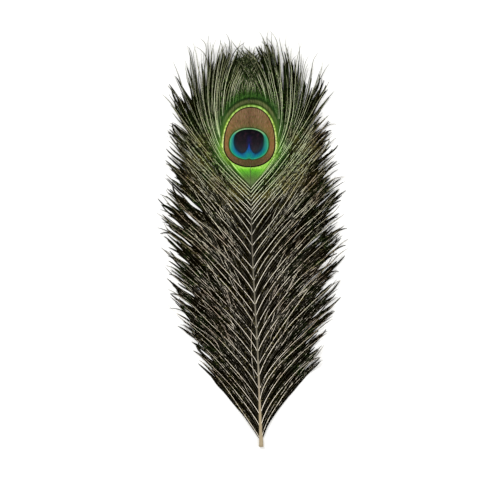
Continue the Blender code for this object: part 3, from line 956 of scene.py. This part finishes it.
def eye_material():
    s = Shader("eye")
    x, y, _ = s.place()
    tone, ridge = s.value("tone"), s.value("ridge")
    streak = s.noise(1, 3, 0.6, s.vector(x * 1.6, y * 0.22))
    colour, outside, _ = eye_colours(s, x, y, streak, tone, True)
    # painted shade in the grooves between the barbs and painted highlight on their crests, stronger
    # outside the rim, over each line's own tone
    deep = s.range(outside, -0.06, 0.02)
    dull, bright = s.range(deep, 0, 1, 0.88, 0.7), s.range(deep, 0, 1, 1.1, 1.3)
    groove, crest = s.range(deep, 0, 1, 0.7, 0.3), s.range(deep, 0, 1, 1.08, 1.3)
    light = s.range(tone, 0, 1, dull, bright) * s.range(ridge, 0, 1, groove, crest)
    colour = s.lit(colour, light * s.range(streak, 0.3, 0.7, 0.86, 1.12))
    under = s.mix(s.range(streak, 0.3, 0.7), "4a3f33", "6b5c49")
    colour = s.mix(s.value("under"), colour, under)
    fine = s.math("SINE", s.value("along") * 900)
    return s.finish(colour, s.range(streak, 0.3, 0.7, 0.45, 0.6), 0.04, fine, 0.2)


def blade_colours(s, x, y, along, tone, outside, v, eye):
    """Barbules: near black low down, olive towards the eye, with green sheen in patches, a
    belt of gold beside the eye, and the eye's own colours next to it."""
    patch = s.noise(0.11, 2, 0.5, s.vector(x, y))
    dark = s.ramp(tone, "0 040300, 0.5 0c0902, 0.75 201b0c, 0.9 40391c, 1 80784c")
    olive = s.ramp(tone, "0 020400, 0.45 091203, 0.68 24440f, 0.84 4c7c2c, 1 8cb864")
    away = most(s.range(outside + patch * 0.8, 0.6, 1.8), s.range(y, 236, 262, 0, 0.4))
    blade = s.mix(away, olive, dark)
    green = s.ramp(tone, "0 020802, 0.4 0a1e0a, 0.65 1e4c1c, 1 5a9a48")
    glint = s.range(along, 0.25, 0.75) * s.range(patch, 0.46, 0.66)
    blade = s.mix(glint * 0.35, blade, green)
    gold = s.ramp(tone, "0 12100a, 0.4 343014, 0.75 7a7034, 1 a89c58")
    broken = s.range(s.noise(0.16, 1, 0.5, s.vector(x, y, 9)), 0.42, 0.58)
    belt = s.range(outside, 0.35, 0.8) * s.range(outside, 2, 1.3) * broken
    blade = s.mix(belt * s.range(y, 212, 200) * 0.75, blade, gold)
    near = s.eased(outside, 0.1, s.range(v, 15, 25, 0.5, 0.42), 1, 0)
    eye = s.lit(eye, s.range(tone, 0, 0.6, 0.45, 1.5))
    return s.mix(near * s.range(v, -9, -16, 0.8, 0.25), blade, eye)


def rib_colours(s, x, y, along, tone, bold, outside, v):
    """Ribs: cream, greener towards the eye and brown in places. The plainer a barb, the more
    of its rib is dull, in stretches."""
    warm = s.noise(0.05, 2, 0.5, s.vector(y, x, 40))
    rib = s.ramp(along, "0 a8a08a, 0.02 fffbe6, 0.5 fcf6da, 0.8 e6dfc0, 1 948c64")
    rib = s.mix(s.range(y, 150, 90, 0, 0.6) * s.range(along, 0, 0.03), rib, "fff2e2")
    by_eye = s.range(outside, 0.2, 1.6, 0.85, 0) * s.range(y, 232, 220, 0.3, 1)
    rib = s.mix(by_eye, rib, "dcf6b0")
    rib = s.mix(s.range(warm, 0.46, 0.6) * s.range(along, 0.15, 0.45, 0, 0.55), rib, "a88468")
    khaki = s.mix(s.range(tone, 0.1, 0.6), "9ca46c", "f6f8d6")
    rib = s.mix(s.range(y, 208, 226, 0, 0.85), rib, khaki)
    scale = s.range(bold, 0, 0.5, 0.36, 0.2)
    stretch = s.noise(1, 2, 0.6, s.vector(x * scale, y * scale, tone * 60))
    stretch = stretch - s.range(bold, 0, 1, 0.6, 0.31) - s.range(y, 206, 224, 0, -0.11)
    in_crown = s.range(bold, 0.47, 0.27) * s.range(y, 208, 222, 0, 0.92)
    feet = s.range(bold, 0.9, 0.55) * s.range(along, 0.12, 0.36, 0.97, 0)
    dull = most(feet, most(s.range(stretch, 0, 0.09, 0.93, 0), in_crown))
    dull_green = s.mix(tone, "16260b", "3a4c20")
    rib = s.mix(dull, rib, s.mix(s.range(y, 190, 225), "121107", dull_green))
    above = s.eased(outside, 0.2, 0.46, 0.9, 0) * s.range(v, 15, 25)
    close = most(s.eased(outside, 0.05, 0.16, 0.9, 0), above) * s.range(v, -24, -14)
    return s.mix(close, rib, s.mix(tone, "2c5018", "5c8c40"))


def barb_material():
    s = Shader("loose_barbs")
    x, y, _ = s.place()
    part, along, tone, bold = (s.value(name) for name in ("part", "along", "tone", "bold"))
    streak = s.noise(1, 2, 0.5, s.vector(x * 0.9, y * 0.35))
    eye, outside, v = eye_colours(s, x, y, streak, tone, False)
    blade = blade_colours(s, x, y, along, tone, outside, v, eye)
    rib = rib_colours(s, x, y, along, tone, bold, outside, v)
    return s.finish(s.mix(part, blade, rib), 0.6, 0)


def shaft_material():
    s = Shader("quill")
    x, y, z = s.place()
    grain = s.noise(1, 3, 0.6, s.vector(x * 3, y * 0.25, z * 3))
    horn = "0 a8987a, 0.1 ac9c7c, 0.2 a09480, 0.26 8c8674"
    grey, green = "0.34 6e6a5c, 0.6 6a6658, 0.74 504e46", "0.86 444632, 1 3c6018"
    colour = s.ramp(s.range(y, CUT_Y, 190), f"{horn}, {grey}, {green}")
    colour = s.mix(s.range(grain, 0.3, 0.75, 0, 0.4), colour, "6c5c48")
    colour = s.mix(s.value("pith"), colour, "e6dcc4")
    return s.finish(colour, s.range(grain, 0.3, 0.7, 0.38, 0.55), 0.3, grain, 0.3)


def floor_material():
    s = Shader("floor")
    soft = s.range(s.noise(9, 3, 0.5), 0.3, 0.7)
    return s.finish(s.mix(soft, "f4f4f2", "f7f7f6"), 0.8, 0.2)


# ---- Pieces
def add_object(name, data):
    made = bpy.data.objects.new(name, data)
    bpy.context.scene.collection.objects.link(made)
    return made


def place_piece(name, pile, material, shade_smooth=False):
    mesh = pile.mesh(name)
    mesh.materials.append(material)
    if shade_smooth:
        mesh.shade_smooth()
    piece = add_object(name, mesh)
    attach(piece, "root")
    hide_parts("feather")
    print(name, len(mesh.polygons), "triangles")


barbs = barb_material()
place_piece("shaft", shaft_pile(), shaft_material(), True)
place_piece("eye", eye_sheet(), eye_material(), True)
for side, word in ((1, "right"), (-1, "left")):
    for part, low, high in LOOSE_PILES:
        pile = loose_barbs(side, low, high)
        bare_barbs(pile, side, max(low, BARE_ROOTS[0]), min(high, BARE_ROOTS[1]))
        place_piece(f"{word}_{part}_barbs", pile, barbs)
for side, word in ((1, "right"), (-1, "left")):
    place_piece(f"{word}_crown", crown_barbs(side), barbs)

# ---- Floor, light and camera
FLOOR_HALF, FLOOR_DROP = 3, 0.00005
floor_mesh = bpy.data.meshes.new("floor")
corners = [(x * FLOOR_HALF, y * FLOOR_HALF, 0) for x, y in ((-1, -1), (1, -1), (1, 1), (-1, 1))]
floor_mesh.from_pydata(corners, [], [(0, 1, 2, 3)])
floor_mesh.materials.append(floor_material())
floor = add_object("floor", floor_mesh)
floor.location.z = -FLOOR_DROP

world = bpy.data.worlds.new("studio")
world.use_nodes = True
sky = world.node_tree.nodes["Background"].inputs
sky["Color"].default_value = (1, 0.99, 0.975, 1)
sky["Strength"].default_value = 0.75
bpy.context.scene.world = world


def area_light(name, place, target, size, watts):
    data = bpy.data.lights.new(name, "AREA")
    data.shape = "SQUARE"
    data.size = size
    data.energy = watts
    light = add_object(name, data)
    light.location = place
    light.rotation_euler = (light.location - target).to_track_quat("Z", "Y").to_euler()


centre = Vector((0, 0.126, 0))
area_light("key", (-0.55, 0.75, 1.1), centre, 0.5, 9)
area_light("fill", (0.8, -0.3, 1.2), centre, 1, 6)

# The photograph's frame: 500 pixels across, 0.7 mm each, with the cut end of the quill
# and the eye at the places that they have in it
FRAME_PIXELS, PIXEL = 500, 0.7
CUT_PIXEL, LEAN = (261.3, 447), math.radians(2.06)
CAMERA_HEIGHT, SCALE_HEIGHT, SENSOR = 1.6, 0.003, 36.0
right = Vector((math.cos(LEAN), -math.sin(LEAN), 0))
up = Vector((math.sin(LEAN), math.cos(LEAN), 0))
offset = right * (FRAME_PIXELS / 2 - CUT_PIXEL[0]) + up * (CUT_PIXEL[1] - FRAME_PIXELS / 2)
aim = Vector((0, CUT_Y, 0)) + offset * PIXEL
camera_data = bpy.data.cameras.new("camera")
camera_data.sensor_fit = "HORIZONTAL"
camera_data.sensor_width = SENSOR
camera_data.lens = SENSOR * CAMERA_HEIGHT / (FRAME_PIXELS * PIXEL * MM)
camera_data.clip_start = 0.05
camera_data.clip_end = 20.0
camera = add_object("camera", camera_data)
camera.location = aim * MM + Vector((0, 0, CAMERA_HEIGHT + SCALE_HEIGHT))
camera.rotation_euler = (0, 0, -LEAN)
bpy.context.scene.camera = camera
bpy.context.scene.view_settings.view_transform = "Standard"
